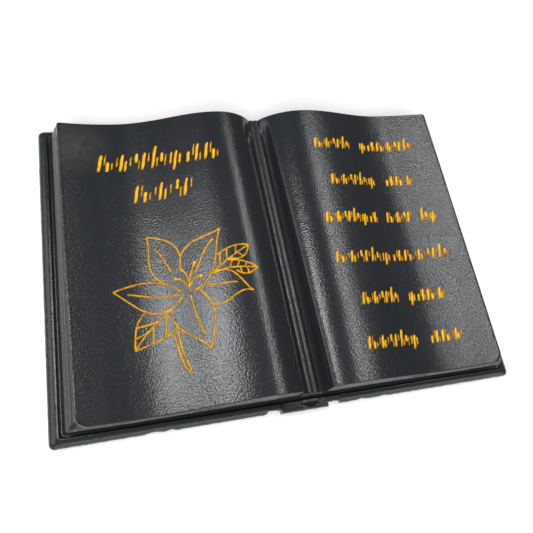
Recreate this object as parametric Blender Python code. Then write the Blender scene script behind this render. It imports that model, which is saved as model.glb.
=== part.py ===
"""Open-book memorial plaque, cast in one piece and lying on its flat underside.

X runs across the two pages, Y up the page and Z up from the ground. The origin is on the ground
under the middle of the casting. All sizes are in metres.
"""
import math

import bmesh
import bpy
from mathutils import Vector

# Page block: the two pages with their waved top, between the page's edges
PAGE_SPREAD = 0.1616        # from fore edge to fore edge, across both pages
PAGE_LENGTH = 0.1174        # from the foot of the page to its head
PAGE_EDGE_HEIGHT = 0.0150   # ground to the page's surface at the fore edge
FOOT_CORNER_RADIUS = 0.0045
HEAD_CORNER_RADIUS = 0.0012
LOWER_CORNER_RADIUS = 0.0010

# Wave of each page: it drops to the gutter, crests beside it and dips before the fore edge
CREST_RISE = {"left": 0.0049, "right": 0.0046}
CREST_FROM_GUTTER_HEAD = {"left": 0.0166, "right": 0.0202}
CREST_FROM_GUTTER_FOOT = {"left": 0.0166, "right": 0.0150}
CREST_BEND_RADIUS = {"left": 0.0175, "right": 0.0280}
INNER_DROP_POWER = 8        # how late the page turns down into the gutter after its even bend
DIP_DEPTH = {"left": 0.0025, "right": 0.0012}
DIP_FROM_FORE_EDGE = 0.0230

# Gutter: it leans across the book, and its floor is lower at the foot than at the head
GUTTER_X_FOOT = 0.0022
GUTTER_X_HEAD = -0.0009
GUTTER_DEPTH_FOOT = 0.0050
GUTTER_DEPTH_HEAD = 0.0021
RIB_WIDTH = 0.0042          # the flat floor, which the two grooves leave standing as a rib
RIB_SEAM_RADIUS = 0.0005
GROOVE_WIDTH = 0.0030
GROOVE_DEPTH = 0.0015       # below the rib
GROOVE_STOP = 0.0030        # the grooves close this far short of the head

# Fore edge: it slopes out from the page to the cover, with a few leaf lines in its upper half
FORE_EDGE_RUN = 0.0042
TOP_LEAF_THICKNESS = 0.0007
LEAF_LINE_DEPTH = 0.0003
LEAF_LINE_HALF_WIDTH = 0.0003
LEAF_LINE_DROPS = (0.0025, 0.0047, 0.0066)

# Covers and spine, round which a narrow valley runs beside the page block
COVER_SIDE_MARGIN = 0.0092
COVER_FOOT_MARGIN = 0.0044
COVER_HEAD_MARGIN = 0.0040
COVER_THICKNESS = 0.0042
COVER_CORNER_RADIUS = 0.0026
COVER_EDGE_RADIUS = 0.0024
LEFT_FLARE = 0.0006         # the left cover and fore edge stand out this much more at the foot
VALLEY_RADIUS = 0.0009
VALLEY_OFFSET = 0.0007
SPINE_WIDTH = 0.0186
SPINE_FOOT_MARGIN = 0.0050
SPINE_THICKNESS = 0.0046
SPINE_EDGE_RADIUS = 0.0008
HINGE_WIDTH = 0.0056
HINGE_SETBACK = 0.0009
HINGE_THICKNESS = 0.0034
SPINE_HOLLOW_WIDTH = 0.0078
SPINE_HOLLOW_LENGTH = 0.0020
SPINE_HOLLOW_DEPTH = 0.0012

# Rows of engraved strokes: the foot of each row lies this far below the head of the page
ROW_SLANT = 0.26            # sideways lean of a stroke for its height
STROKE_WIDTH_LEFT = 0.00125
STROKE_WIDTH_RIGHT = 0.00105
LEFT_ROW_X = -0.0441
LEFT_ROW_HEIGHT = 0.0076
LEFT_ROW_DROPS = (0.0222, 0.0366)
LEFT_ROWS = ((0.0480, (7,)), (0.0230, (3,)))
RIGHT_ROW_X = 0.0449
RIGHT_ROW_HEIGHT = 0.0050
RIGHT_ROW_FIRST_DROP = 0.0189
RIGHT_ROW_PITCH = 0.01744
RIGHT_ROWS = (
    (0.0486, (4, 6)),
    (0.0408, (5, 3)),
    (0.0536, (6, 3, 2)),
    (0.0534, (10,)),
    (0.0392, (4, 4)),
    (0.0435, (5, 3)),
)
# Stroke kinds in one mark's cell: start and end as shares of the cell's width and the row's height
MARK_KINDS = (
    ((0.22, 0.0, 0.22, 1.0), (0.62, 0.0, 0.62, 0.55)),
    ((0.40, 0.0, 0.40, 1.0),),
    ((0.22, 0.45, 0.22, 1.0), (0.60, 0.0, 0.60, 1.0)),
    ((0.22, 0.0, 0.22, 1.4), (0.62, 0.35, 0.62, 0.80)),
    ((0.45, -0.35, 0.45, 0.80),),
    ((0.22, 0.0, 0.22, 0.60), (0.62, 0.0, 0.62, 1.0)),
)

# Engraved lily, drawn from its heart on a grid of fiftieths of its span
LILY_SPAN = 0.0500
LILY_HEART_X = -0.0385
LILY_HEART_Y = -0.0153
LILY_LINE_WIDTH = 0.00085
LILY_STEPS = 6
LILY_GRID = LILY_SPAN / 50
# Each line: start, end, then its swell to the left of its way at one third and at two thirds
PETAL_EDGES = (
    ((-2.5, -1.3), (-26.8, 2.1), -6.7, -4.2),
    ((-2.0, -2.2), (-26.8, 2.1), 13.9, 4.0),
    ((-1.6, 12.6), (-13.0, 22.6), -4.7, -2.6),
    ((-7.3, 3.0), (-13.0, 22.6), 7.8, 0.3),
    ((-1.6, 12.6), (14.1, 21.5), 4.8, -0.3),
    ((1.1, -1.4), (14.1, 21.5), -8.3, -0.5),
    ((8.8, 3.5), (22.9, -4.6), 8.1, 1.0),
    ((7.7, -7.5), (22.9, -4.6), -3.6, 3.9),
    ((3.3, -1.0), (4.9, -23.4), 6.8, 2.9),
    ((-7.1, -7.1), (4.9, -23.4), -6.0, 0.5),
)
PETAL_VEINS = (
    ((-21.8, 0.8), (-3.8, -1.7), -0.2, -1.9),
    ((-10.4, 17.4), (-5.3, 7.1), 0.9, 0.1),
    ((11.1, 17.8), (2.8, 5.2), -1.7, -0.2),
    ((6.2, 0.3), (17.5, -0.7), -1.1, 0.5),
    ((0.3, -2.8), (3.4, -18.6), -0.8, -0.3),
    ((-1.6, 12.6), (-2.2, 7.7), 0.0, 0.0),
)
STAMENS = (
    ((0.0, -1.0), (3.5, 9.9), 0.9, 0.9),
    ((0.4, 0.7), (5.4, 3.8), 1.1, 2.0),
    ((-0.3, 0.7), (-4.8, 4.5), -1.2, -1.2),
    ((0.3, 2.6), (-2.2, 7.6), -0.1, -1.6),
)
STEM_EDGES = (
    ((-7.3, -14.7), (-4.1, -29.7), -0.3, -1.1),
    ((-5.6, -14.2), (-2.7, -29.7), -1.3, -0.9),
    ((-4.1, -29.7), (-2.7, -29.7), -0.5, -0.5),
)
# Each leaf: its upper edge, its lower edge, its midrib, and side veins as shares of those lines
LEAVES = (
    {
        "upper": ((-16.3, -6.7), (-21.0, -20.2), -3.0, -1.1),
        "lower": ((-5.6, -13.4), (-21.0, -20.2), 2.4, 0.3),
        "midrib": ((-7.2, -6.9), (-21.0, -20.2), -1.1, -1.4),
        "upper_veins": ((0.30, 0.42), (0.55, 0.70)),
        "lower_veins": ((0.10, 0.34), (0.45, 0.62)),
    },
    {
        "upper": ((11.5, 10.8), (23.9, 13.6), 1.7, 1.9),
        "lower": ((19.5, 7.5), (23.9, 13.6), -0.3, -0.2),
        "midrib": ((9.0, 4.0), (23.9, 13.6), 0.7, 0.3),
        "upper_veins": ((0.12, 0.18), (0.45, 0.48)),
        "lower_veins": ((0.50, 0.05),),
    },
    {
        "upper": ((18.7, 5.0), (26.0, 4.9), 5.0, 0.5),
        "lower": ((17.5, 3.4), (26.0, 4.9), -4.2, -1.1),
        "midrib": ((17.0, 4.4), (26.0, 4.9), 0.2, 0.2),
        "upper_veins": ((0.35, 0.40),),
        "lower_veins": ((0.35, 0.45),),
    },
)

PAGE_HALF_SPREAD = PAGE_SPREAD / 2
PAGE_HALF_LENGTH = PAGE_LENGTH / 2
COVER_HALF_WIDTH = PAGE_HALF_SPREAD + COVER_SIDE_MARGIN
# The margins differ and the left side flares, so the pages' middle stands off the casting's middle
FOOT_OVERHANG = max(COVER_FOOT_MARGIN, SPINE_FOOT_MARGIN)
PAGE_MIDDLE_X = LEFT_FLARE / 2
PAGE_MIDDLE_Y = (FOOT_OVERHANG - COVER_HEAD_MARGIN) / 2
EMBED = 0.0010              # the page block starts this far above the ground, inside the covers
PAGE_COLUMNS = 64
COLUMN_EVENNESS = 0.35      # below 1, the page's columns stand closer at the gutter
SIDE_STEPS = 2
CORNER_STEPS = 3
EDGE_STEPS = 2
LEAF_STEPS = 4
FINE_LINE_STEPS = 3
LEAST_CORNER_RADIUS = 0.0003
UPRIGHT = 0.99999           # least share of a face's normal along Y that counts as upright
WELD_DISTANCE = 0.000001


def up_the_page(at_foot, at_head, y):
    """A size that changes evenly up the page, at a distance y from the page's middle."""
    return at_foot + (at_head - at_foot) * (y + PAGE_HALF_LENGTH) / PAGE_LENGTH


def gutter_x(y):
    """Middle of the gutter."""
    return up_the_page(GUTTER_X_FOOT, GUTTER_X_HEAD, y)


def gutter_depth(y):
    """Depth of the gutter's floor below the page's height at the fore edge."""
    return up_the_page(GUTTER_DEPTH_FOOT, GUTTER_DEPTH_HEAD, y)


def page_height(x, y):
    """Height of the page's surface above the ground, with y measured from the page's middle."""
    middle = gutter_x(y)
    side = "left" if x < middle else "right"
    from_gutter = abs(x - middle)
    crest = up_the_page(CREST_FROM_GUTTER_FOOT[side], CREST_FROM_GUTTER_HEAD[side], y)
    rise = CREST_RISE[side]
    if from_gutter < crest:
        reach = crest - RIB_WIDTH / 2
        way = min((crest - from_gutter) / reach, 1.0)
        bend = reach ** 2 / (2 * CREST_BEND_RADIUS[side])
        drop = rise + gutter_depth(y) - bend
        return PAGE_EDGE_HEIGHT + rise - bend * way ** 2 - drop * way ** INNER_DROP_POWER
    dip_x = PAGE_HALF_SPREAD - DIP_FROM_FORE_EDGE
    crest_x = abs(middle + crest * (-1 if side == "left" else 1))
    if abs(x) < dip_x:
        way = (abs(x) - crest_x) / (dip_x - crest_x)
        fall = (1 - math.cos(math.pi * way)) / 2
        return PAGE_EDGE_HEIGHT + rise - (rise + DIP_DEPTH[side]) * fall
    way = (abs(x) - dip_x) / DIP_FROM_FORE_EDGE
    return PAGE_EDGE_HEIGHT - DIP_DEPTH[side] * (1 - way * way)


def flared_x(x, y):
    """The place across the book after the left side's flare, which leaves the page itself alone."""
    beyond = min(max(-x - PAGE_HALF_SPREAD, 0.0) / FORE_EDGE_RUN, 1.0)
    return x + LEFT_FLARE * beyond * y / PAGE_HALF_LENGTH


def collection(name):
    """A new collection in the scene."""
    made = bpy.data.collections.new(name)
    bpy.context.scene.collection.children.link(made)
    return made


def remove_all_objects():
    for each in list(bpy.data.objects):
        bpy.data.objects.remove(each, do_unlink=True)


def finish_bmesh(bm, name, home):
    """Makes a closed bmesh an object of the given collection, in flat faces that Booleans can cut."""
    bmesh.ops.triangulate(bm, faces=bm.faces)
    bmesh.ops.recalc_face_normals(bm, faces=bm.faces)
    mesh = bpy.data.meshes.new(name)
    bm.to_mesh(mesh)
    bm.free()
    made = bpy.data.objects.new(name, mesh)
    made.location = (PAGE_MIDDLE_X, PAGE_MIDDLE_Y, 0.0)
    home.objects.link(made)
    return made


def hide_tool(tool):
    tool.hide_render = True
    tool.display_type = "WIRE"


def boolean(target, tool, operation, overlaps_itself=False):
    """One exact Boolean between the casting and a hidden tool."""
    hide_tool(tool)
    cut = target.modifiers.new(tool.name, "BOOLEAN")
    cut.object = tool
    cut.operation = operation
    cut.solver = "EXACT"
    cut.use_self = overlaps_itself


def page_rows():
    """Rows of the page's grid from foot to head, each as its stretch and its place on that stretch."""
    foot = [("foot", 90 * step / CORNER_STEPS) for step in range(CORNER_STEPS)]
    side = [("side", step / SIDE_STEPS) for step in range(SIDE_STEPS + 1)]
    head = [("head", 90 * (step + 1) / CORNER_STEPS) for step in range(CORNER_STEPS)]
    return foot + side + head


def row_end(row, out, foot_radius):
    """Half width of the page's outline on a row, and the row's place up the page."""
    part, value = row
    half_x = PAGE_HALF_SPREAD + out
    if part == "foot":
        angle = math.radians(value)
        x = half_x - foot_radius * (1 - math.sin(angle))
        return x, -PAGE_HALF_LENGTH + foot_radius * (1 - math.cos(angle))
    if part == "head":
        angle = math.radians(value)
        x = half_x - HEAD_CORNER_RADIUS * (1 - math.cos(angle))
        return x, PAGE_HALF_LENGTH - HEAD_CORNER_RADIUS * (1 - math.sin(angle))
    low = -PAGE_HALF_LENGTH + foot_radius
    high = PAGE_HALF_LENGTH - HEAD_CORNER_RADIUS
    return half_x, low + (high - low) * value


def page_levels():
    """Rings down the page block's side: how far each stands out, and its height."""
    slope_top = PAGE_EDGE_HEIGHT - TOP_LEAF_THICKNESS
    slope_height = slope_top - COVER_THICKNESS

    def slope_out(drop):
        return FORE_EDGE_RUN * drop / slope_height

    levels = [(0.0, slope_top)]
    for drop in LEAF_LINE_DROPS:
        levels.append((slope_out(drop - LEAF_LINE_HALF_WIDTH), slope_top - drop + LEAF_LINE_HALF_WIDTH))
        levels.append((slope_out(drop) - LEAF_LINE_DEPTH, slope_top - drop))
        levels.append((slope_out(drop + LEAF_LINE_HALF_WIDTH), slope_top - drop - LEAF_LINE_HALF_WIDTH))
    levels.append((FORE_EDGE_RUN, COVER_THICKNESS))
    levels.append((FORE_EDGE_RUN, EMBED))
    return levels


def page_block(home):
    """The two pages: a waved grid trimmed to the page's outline, with its rim drawn down."""
    rows = page_rows()
    bm = bmesh.new()
    bmesh.ops.create_grid(bm, x_segments=PAGE_COLUMNS, y_segments=len(rows) - 1, size=1.0)
    place = {}
    for vert in bm.verts:
        row = rows[round((vert.co.y + 1) / 2 * (len(rows) - 1))]
        across = vert.co.x
        half_x, y = row_end(row, 0.0, FOOT_CORNER_RADIUS)
        # columns stand closest at the gutter and follow its lean
        spread = COLUMN_EVENNESS * across + (1 - COLUMN_EVENNESS) * across ** 3
        x = half_x * spread + gutter_x(y) * (1 - abs(across))
        vert.co = Vector((x, y, page_height(x, y)))
        place[vert] = (across, row, x / half_x)
    rim = [e for e in bm.edges if e.is_boundary]
    slope_top = page_levels()[0][1]
    for out, z in page_levels():
        drop = min((slope_top - z) / (slope_top - COVER_THICKNESS), 1.0)
        foot_radius = FOOT_CORNER_RADIUS + (LOWER_CORNER_RADIUS - FOOT_CORNER_RADIUS) * drop
        above = {v.co.copy().freeze(): v for e in rim for v in e.verts}
        drawn = bmesh.ops.extrude_edge_only(bm, edges=rim)["geom"]
        for vert in [v for v in drawn if isinstance(v, bmesh.types.BMVert)]:
            across, row, share = place[above[vert.co.copy().freeze()]]
            half_x, y = row_end(row, out, foot_radius)
            place[vert] = (across, row, share)
            vert.co = Vector((flared_x(half_x * share, y), y, z))
        rim = [e for e in drawn if isinstance(e, bmesh.types.BMEdge)]
    bmesh.ops.edgeloop_fill(bm, edges=rim)
    bm.normal_update()
    upright = [e for e in bm.edges if all(abs(f.normal.y) > UPRIGHT for f in e.link_faces)]
    bmesh.ops.dissolve_edges(bm, edges=upright, use_verts=True)
    return finish_bmesh(bm, "book_plaque", home)


def rounded_ring(half_x, half_y, z, radius, corner_steps):
    """Points round a rectangle with rounded corners."""
    points = []
    for corner in range(4):
        sign_x = (1, -1, -1, 1)[corner]
        sign_y = (1, 1, -1, -1)[corner]
        for step in range(corner_steps + 1):
            angle = math.radians(90 * corner + 90 * step / corner_steps)
            x = sign_x * (half_x - radius) + radius * math.cos(angle)
            y = sign_y * (half_y - radius) + radius * math.sin(angle)
            points.append((x, y, z))
    return points


def slab(name, home, x_range, y_range, thickness, corner_radius, edge_radius):
    """A board with rounded corners in plan, whose upper edge is rounded over, made ring by ring."""
    middle = Vector(((x_range[0] + x_range[1]) / 2, (y_range[0] + y_range[1]) / 2, 0.0))
    half_x = (x_range[1] - x_range[0]) / 2
    half_y = (y_range[1] - y_range[0]) / 2
    levels = [(0.0, 0.0)]
    for step in range(EDGE_STEPS + 1):
        angle = math.radians(90 * step / EDGE_STEPS)
        levels.append((edge_radius * (1 - math.cos(angle)), thickness - edge_radius * (1 - math.sin(angle))))
    bm = bmesh.new()
    rings = []
    for inset, z in levels:
        radius = max(corner_radius - inset, LEAST_CORNER_RADIUS)
        verts = []
        for point in rounded_ring(half_x - inset, half_y - inset, z, radius, CORNER_STEPS):
            x, y, _ = Vector(point) + middle
            verts.append(bm.verts.new((flared_x(x, y), y, z)))
        rings.append([bm.edges.new((verts[i - 1], verts[i])) for i in range(len(verts))])
    for lower, upper in zip(rings, rings[1:]):
        bmesh.ops.bridge_loops(bm, edges=lower + upper)
    bmesh.ops.edgeloop_fill(bm, edges=rings[0])
    bmesh.ops.edgeloop_fill(bm, edges=rings[-1])
    return finish_bmesh(bm, name, home)


def tube(name, home, runs, cyclic=False, sides_level=2):
    """Closed tubes along runs of points, each given as (points, radius), welded into one mesh."""
    curve = bpy.data.curves.new(name, "CURVE")
    curve.dimensions = "3D"
    curve.twist_mode = "Z_UP"
    curve.bevel_depth = 1.0
    curve.bevel_resolution = sides_level
    curve.use_fill_caps = not cyclic
    for points, radius in runs:
        spline = curve.splines.new("POLY")
        spline.points.add(len(points) - 1)
        spline.use_cyclic_u = cyclic
        for target, point in zip(spline.points, points):
            target.co = (*point, 1.0)
            target.radius = radius
    drawn = bpy.data.objects.new(name + "_curve", curve)
    home.objects.link(drawn)
    bpy.context.view_layer.update()
    mesh = bpy.data.meshes.new_from_object(drawn.evaluated_get(bpy.context.evaluated_depsgraph_get()))
    bpy.data.objects.remove(drawn, do_unlink=True)
    bm = bmesh.new()
    bm.from_mesh(mesh)
    bpy.data.meshes.remove(mesh)
    bmesh.ops.remove_doubles(bm, verts=bm.verts, dist=WELD_DISTANCE)
    return finish_bmesh(bm, name, home)


def gutter_groove(name, home, sign):
    """An upright slot beside the rib, round-bottomed, that follows the gutter's lean and fall."""
    foot = -PAGE_HALF_LENGTH - COVER_FOOT_MARGIN
    head = PAGE_HALF_LENGTH - GROOVE_STOP
    half_width = GROOVE_WIDTH / 2
    offset = sign * (RIB_WIDTH / 2 + half_width)
    tall = GUTTER_DEPTH_FOOT + GROOVE_DEPTH + 2 * max(CREST_RISE.values())
    tool = slab(name, home, (-half_width, half_width), (foot, head), tall, half_width, half_width / 2)
    for vert in tool.data.vertices:
        x, y, z = vert.co
        floor = PAGE_EDGE_HEIGHT - gutter_depth(y) - GROOVE_DEPTH
        # half a turn about Y puts the rounded edge at the bottom
        vert.co = Vector((gutter_x(y) + offset - x, y, floor + tall - z))
    return tool


def rib_seam_run():
    """The fine seam along the middle of the rib, from past the foot to past the head."""
    spare = 0.002
    ends = (-PAGE_HALF_LENGTH - spare, PAGE_HALF_LENGTH + spare)
    return [(gutter_x(y), y, PAGE_EDGE_HEIGHT - gutter_depth(y)) for y in ends], RIB_SEAM_RADIUS


def valley_run():
    """The ring that the valley follows round the page block's foot."""
    half_x = PAGE_HALF_SPREAD + FORE_EDGE_RUN + VALLEY_OFFSET
    half_y = PAGE_HALF_LENGTH + VALLEY_OFFSET
    radius = LOWER_CORNER_RADIUS + VALLEY_OFFSET
    ring = rounded_ring(half_x, half_y, COVER_THICKNESS, radius, CORNER_STEPS)
    return [(flared_x(x, y), y, z) for x, y, z in ring], VALLEY_RADIUS


def on_page(x, y):
    return x, y, page_height(x, y)


def row_strokes(middle_x, foot_y, height, width, words, stroke_width):
    """Slanted strokes of one engraved row, in words with a mark's width between them."""
    cells = sum(words) + len(words) - 1
    cell = width / cells
    runs = []
    place = 0
    mark = 0
    for word in words:
        for _ in range(word):
            left = middle_x - width / 2 + place * cell
            for start_u, start_v, end_u, end_v in MARK_KINDS[mark % len(MARK_KINDS)]:
                ends = []
                for u, v in ((start_u, start_v), (end_u, end_v)):
                    lean = ROW_SLANT * v * height
                    ends.append(on_page(left + u * cell + lean, foot_y + v * height))
                runs.append((ends, stroke_width / 2))
            place += 1
            mark += 1
        place += 1
    return runs


def all_row_strokes():
    runs = []
    for drop, (width, words) in zip(LEFT_ROW_DROPS, LEFT_ROWS):
        foot = PAGE_HALF_LENGTH - drop
        runs += row_strokes(LEFT_ROW_X, foot, LEFT_ROW_HEIGHT, width, words, STROKE_WIDTH_LEFT)
    for index, (width, words) in enumerate(RIGHT_ROWS):
        foot = PAGE_HALF_LENGTH - RIGHT_ROW_FIRST_DROP - index * RIGHT_ROW_PITCH
        runs += row_strokes(RIGHT_ROW_X, foot, RIGHT_ROW_HEIGHT, width, words, STROKE_WIDTH_RIGHT)
    return runs


def bowed_point(line, share):
    """A point along one of the lily's bowed lines, on the lily's own grid."""
    start, end, swell_a, swell_b = line
    start = Vector(start)
    end = Vector(end)
    way = end - start
    left = Vector((-way.y, way.x)).normalized()
    handle_a = start + way / 3 + left * swell_a
    handle_b = start + way * 2 / 3 + left * swell_b
    rest = 1 - share
    return rest ** 3 * start + 3 * share * rest ** 2 * handle_a + 3 * share ** 2 * rest * handle_b + share ** 3 * end


def lily_point(point):
    x = LILY_HEART_X + point.x * LILY_GRID
    y = LILY_HEART_Y + point.y * LILY_GRID
    return on_page(x, y)


def lily_line(line, steps):
    points = [lily_point(bowed_point(line, step / steps)) for step in range(steps + 1)]
    return points, LILY_LINE_WIDTH / 2


def leaf_lines(leaf):
    runs = [lily_line(leaf[part], LEAF_STEPS) for part in ("upper", "lower", "midrib")]
    for edge in ("upper", "lower"):
        for on_midrib, on_edge in leaf[edge + "_veins"]:
            ends = (bowed_point(leaf["midrib"], on_midrib), bowed_point(leaf[edge], on_edge))
            runs.append(([lily_point(end) for end in ends], LILY_LINE_WIDTH / 2))
    return runs


def lily_lines():
    runs = [lily_line(line, LILY_STEPS) for line in PETAL_EDGES]
    runs += [lily_line(line, FINE_LINE_STEPS) for line in PETAL_VEINS + STEM_EDGES + STAMENS]
    for leaf in LEAVES:
        runs += leaf_lines(leaf)
    return runs


def spine_hollow(home):
    """The shallow oval hollow in the spine's end, below the foot of the gutter."""
    bm = bmesh.new()
    bmesh.ops.create_uvsphere(bm, u_segments=16, v_segments=8, radius=1.0)
    bmesh.ops.scale(bm, vec=(SPINE_HOLLOW_WIDTH / 2, SPINE_HOLLOW_LENGTH / 2, SPINE_HOLLOW_DEPTH), verts=bm.verts)
    middle_y = -PAGE_HALF_LENGTH - SPINE_FOOT_MARGIN / 2
    bmesh.ops.translate(bm, vec=(GUTTER_X_FOOT, middle_y, SPINE_THICKNESS), verts=bm.verts)
    return finish_bmesh(bm, "spine_hollow", home)


def resin_material():
    material = bpy.data.materials.new("black_resin")
    material.use_nodes = True
    shader = material.node_tree.nodes["Principled BSDF"]
    shader.inputs["Base Color"].default_value = (0.018, 0.020, 0.022, 1.0)
    shader.inputs["Roughness"].default_value = 0.38
    shader.inputs["Metallic"].default_value = 0.0
    return material


remove_all_objects()
casting_home = collection("open_book_plaque")
tools_home = collection("casting_tools")

plaque = page_block(casting_home)

head_y = PAGE_HALF_LENGTH + COVER_HEAD_MARGIN
foot_y = -PAGE_HALF_LENGTH - COVER_FOOT_MARGIN
spine_half = SPINE_WIDTH / 2
cover_start = spine_half + HINGE_WIDTH
hinge_half = cover_start + COVER_CORNER_RADIUS + COVER_EDGE_RADIUS
hinge = slab("hinge_strip", tools_home, (-hinge_half, hinge_half),
             (foot_y + HINGE_SETBACK, head_y - HINGE_SETBACK), HINGE_THICKNESS,
             SPINE_EDGE_RADIUS, SPINE_EDGE_RADIUS)
spine = slab("spine", tools_home, (-spine_half, spine_half),
             (-PAGE_HALF_LENGTH - SPINE_FOOT_MARGIN, head_y - HINGE_SETBACK / 2), SPINE_THICKNESS,
             SPINE_EDGE_RADIUS, SPINE_EDGE_RADIUS)
boolean(plaque, hinge, "UNION")
boolean(plaque, spine, "UNION")
for side_name, sign in (("left", -1), ("right", 1)):
    x_ends = sorted((sign * cover_start, sign * COVER_HALF_WIDTH))
    cover = slab("cover_" + side_name, tools_home, x_ends, (foot_y, head_y), COVER_THICKNESS,
                 COVER_CORNER_RADIUS, COVER_EDGE_RADIUS)
    boolean(plaque, cover, "UNION")

boolean(plaque, tube("valley", tools_home, [valley_run()], cyclic=True, sides_level=1), "DIFFERENCE")
boolean(plaque, spine_hollow(tools_home), "DIFFERENCE")

for side_name, sign in (("left", -1), ("right", 1)):
    boolean(plaque, gutter_groove("gutter_groove_" + side_name, tools_home, sign), "DIFFERENCE")
boolean(plaque, tube("rib_seam", tools_home, [rib_seam_run()], sides_level=0), "DIFFERENCE")

boolean(plaque, tube("engraved_rows", tools_home, all_row_strokes(), sides_level=0), "DIFFERENCE")
boolean(plaque, tube("engraved_lily", tools_home, lily_lines(), sides_level=0), "DIFFERENCE", True)

plaque.data.materials.append(resin_material())
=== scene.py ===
"""Looks of a small graveside plaque cast as an open book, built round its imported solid.

One resin casting in black paint, with gold paint in its engraved lines, on a pale studio floor.
"""

import math

import bmesh
import bpy
from mathutils import Matrix, Vector, noise


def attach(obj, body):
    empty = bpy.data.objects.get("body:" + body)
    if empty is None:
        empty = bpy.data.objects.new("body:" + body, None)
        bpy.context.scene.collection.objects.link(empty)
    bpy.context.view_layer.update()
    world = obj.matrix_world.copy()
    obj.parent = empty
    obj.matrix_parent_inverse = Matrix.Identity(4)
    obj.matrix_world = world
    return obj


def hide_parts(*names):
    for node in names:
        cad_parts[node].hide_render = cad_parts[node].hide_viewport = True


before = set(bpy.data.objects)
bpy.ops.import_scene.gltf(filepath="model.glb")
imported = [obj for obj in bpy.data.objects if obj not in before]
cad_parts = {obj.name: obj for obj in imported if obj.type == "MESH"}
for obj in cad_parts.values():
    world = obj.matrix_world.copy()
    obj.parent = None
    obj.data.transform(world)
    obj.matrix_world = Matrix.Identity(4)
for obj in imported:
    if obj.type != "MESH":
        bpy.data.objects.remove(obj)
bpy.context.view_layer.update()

# Camera. A hand-held view from the front left and well above the book, close enough for the
# right page to narrow towards its head.
CAMERA_PLACE = (-0.06267, -0.08015, 0.20878)
CAMERA_RIGHT = (0.96191, -0.17628, 0.20892)
CAMERA_UP = (0.09038, 0.92640, 0.36553)
CAMERA_BACK = (-0.25798, -0.33273, 0.90705)
CAMERA_LENS = 37.64
CAMERA_SENSOR_WIDTH = 36.0
CAMERA_NEAR_END = 0.01

camera_data = bpy.data.cameras.new("camera")
camera_data.lens = CAMERA_LENS
camera_data.sensor_width = CAMERA_SENSOR_WIDTH
camera_data.clip_start = CAMERA_NEAR_END
camera = bpy.data.objects.new("camera", camera_data)
turn = Matrix((CAMERA_RIGHT, CAMERA_UP, CAMERA_BACK)).transposed()
camera.matrix_world = Matrix.Translation(CAMERA_PLACE) @ turn.to_4x4()
bpy.context.scene.collection.objects.link(camera)
bpy.context.scene.camera = camera

# Studio. A white table in a white room: long soft strips overhead run along the gutter, and
# draw the narrow streaks of light on the waved pages.
FLOOR_HALF_SIZE = 3.0
FLOOR_COLOR = (0.86, 0.86, 0.85, 1.0)
FLOOR_ROUGHNESS = 0.9
ROOM_COLOR = (1.0, 1.0, 1.0, 1.0)
ROOM_STRENGTH = 0.09
# Each overhead strip: place, width across the book, length along it, power in watts
STRIPS = (
    ((0.650, 0.43, 1.15), 0.07, 0.95, 4.8),
    ((0.490, 0.45, 1.15), 0.14, 0.95, 0.6),
    ((-0.270, 0.27, 1.15), 0.08, 0.42, 2.0),
    ((-0.450, 0.22, 1.10), 0.09, 0.46, 3.0),
)
# The front light reaches the table and the covers' front, and no page mirrors it to the camera
FRONT_LIGHT_PLACE = (-0.5, -1.3, 1.5)
FRONT_LIGHT_SIZE = 1.2
FRONT_LIGHT_POWER = 40.0
# Low cards in front and at the left are what the pages' rims and the covers' slopes mirror.
# Each card: place, width, height, power in watts, colour
CARDS = (
    ((0.1, -1.3, 0.45), 2.2, 0.6, 9.0, (1.0, 0.94, 0.80)),
    ((-1.2, 0.1, 0.75), 1.4, 0.8, 6.5, (0.98, 0.99, 1.0)),
)

bm = bmesh.new()
bmesh.ops.create_grid(bm, x_segments=1, y_segments=1, size=FLOOR_HALF_SIZE)
floor_mesh = bpy.data.meshes.new("floor")
bm.to_mesh(floor_mesh)
bm.free()
floor = bpy.data.objects.new("floor", floor_mesh)
bpy.context.scene.collection.objects.link(floor)
floor_paint = bpy.data.materials.new("floor_paint")
floor_paint.use_nodes = True
floor_shader = floor_paint.node_tree.nodes["Principled BSDF"]
floor_shader.inputs["Base Color"].default_value = FLOOR_COLOR
floor_shader.inputs["Roughness"].default_value = FLOOR_ROUGHNESS
floor.data.materials.append(floor_paint)

room = bpy.data.worlds.new("room")
room.use_nodes = True
room.node_tree.nodes["Background"].inputs["Color"].default_value = ROOM_COLOR
room.node_tree.nodes["Background"].inputs["Strength"].default_value = ROOM_STRENGTH
bpy.context.scene.world = room
bpy.context.scene.view_settings.view_transform = "Standard"


def hang_light(name, place, width, length, power):
    """A soft rectangular light that shines straight down."""
    light_data = bpy.data.lights.new(name, "AREA")
    light_data.shape = "RECTANGLE"
    light_data.size = width
    light_data.size_y = length
    light_data.energy = power
    light = bpy.data.objects.new(name, light_data)
    light.location = place
    bpy.context.scene.collection.objects.link(light)
    return light


def aim_at_book(light):
    light.rotation_euler = light.location.to_track_quat("Z", "Y").to_euler()


for number, (place, width, length, power) in enumerate(STRIPS):
    hang_light(f"strip_{number}", place, width, length, power)

front_light = hang_light(
    "front_light", FRONT_LIGHT_PLACE, FRONT_LIGHT_SIZE, FRONT_LIGHT_SIZE, FRONT_LIGHT_POWER)
front_light.visible_glossy = False
aim_at_book(front_light)

for number, (place, width, height, power, color) in enumerate(CARDS):
    card = hang_light(f"card_{number}", place, width, height, power)
    card.data.color = color
    aim_at_book(card)

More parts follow.
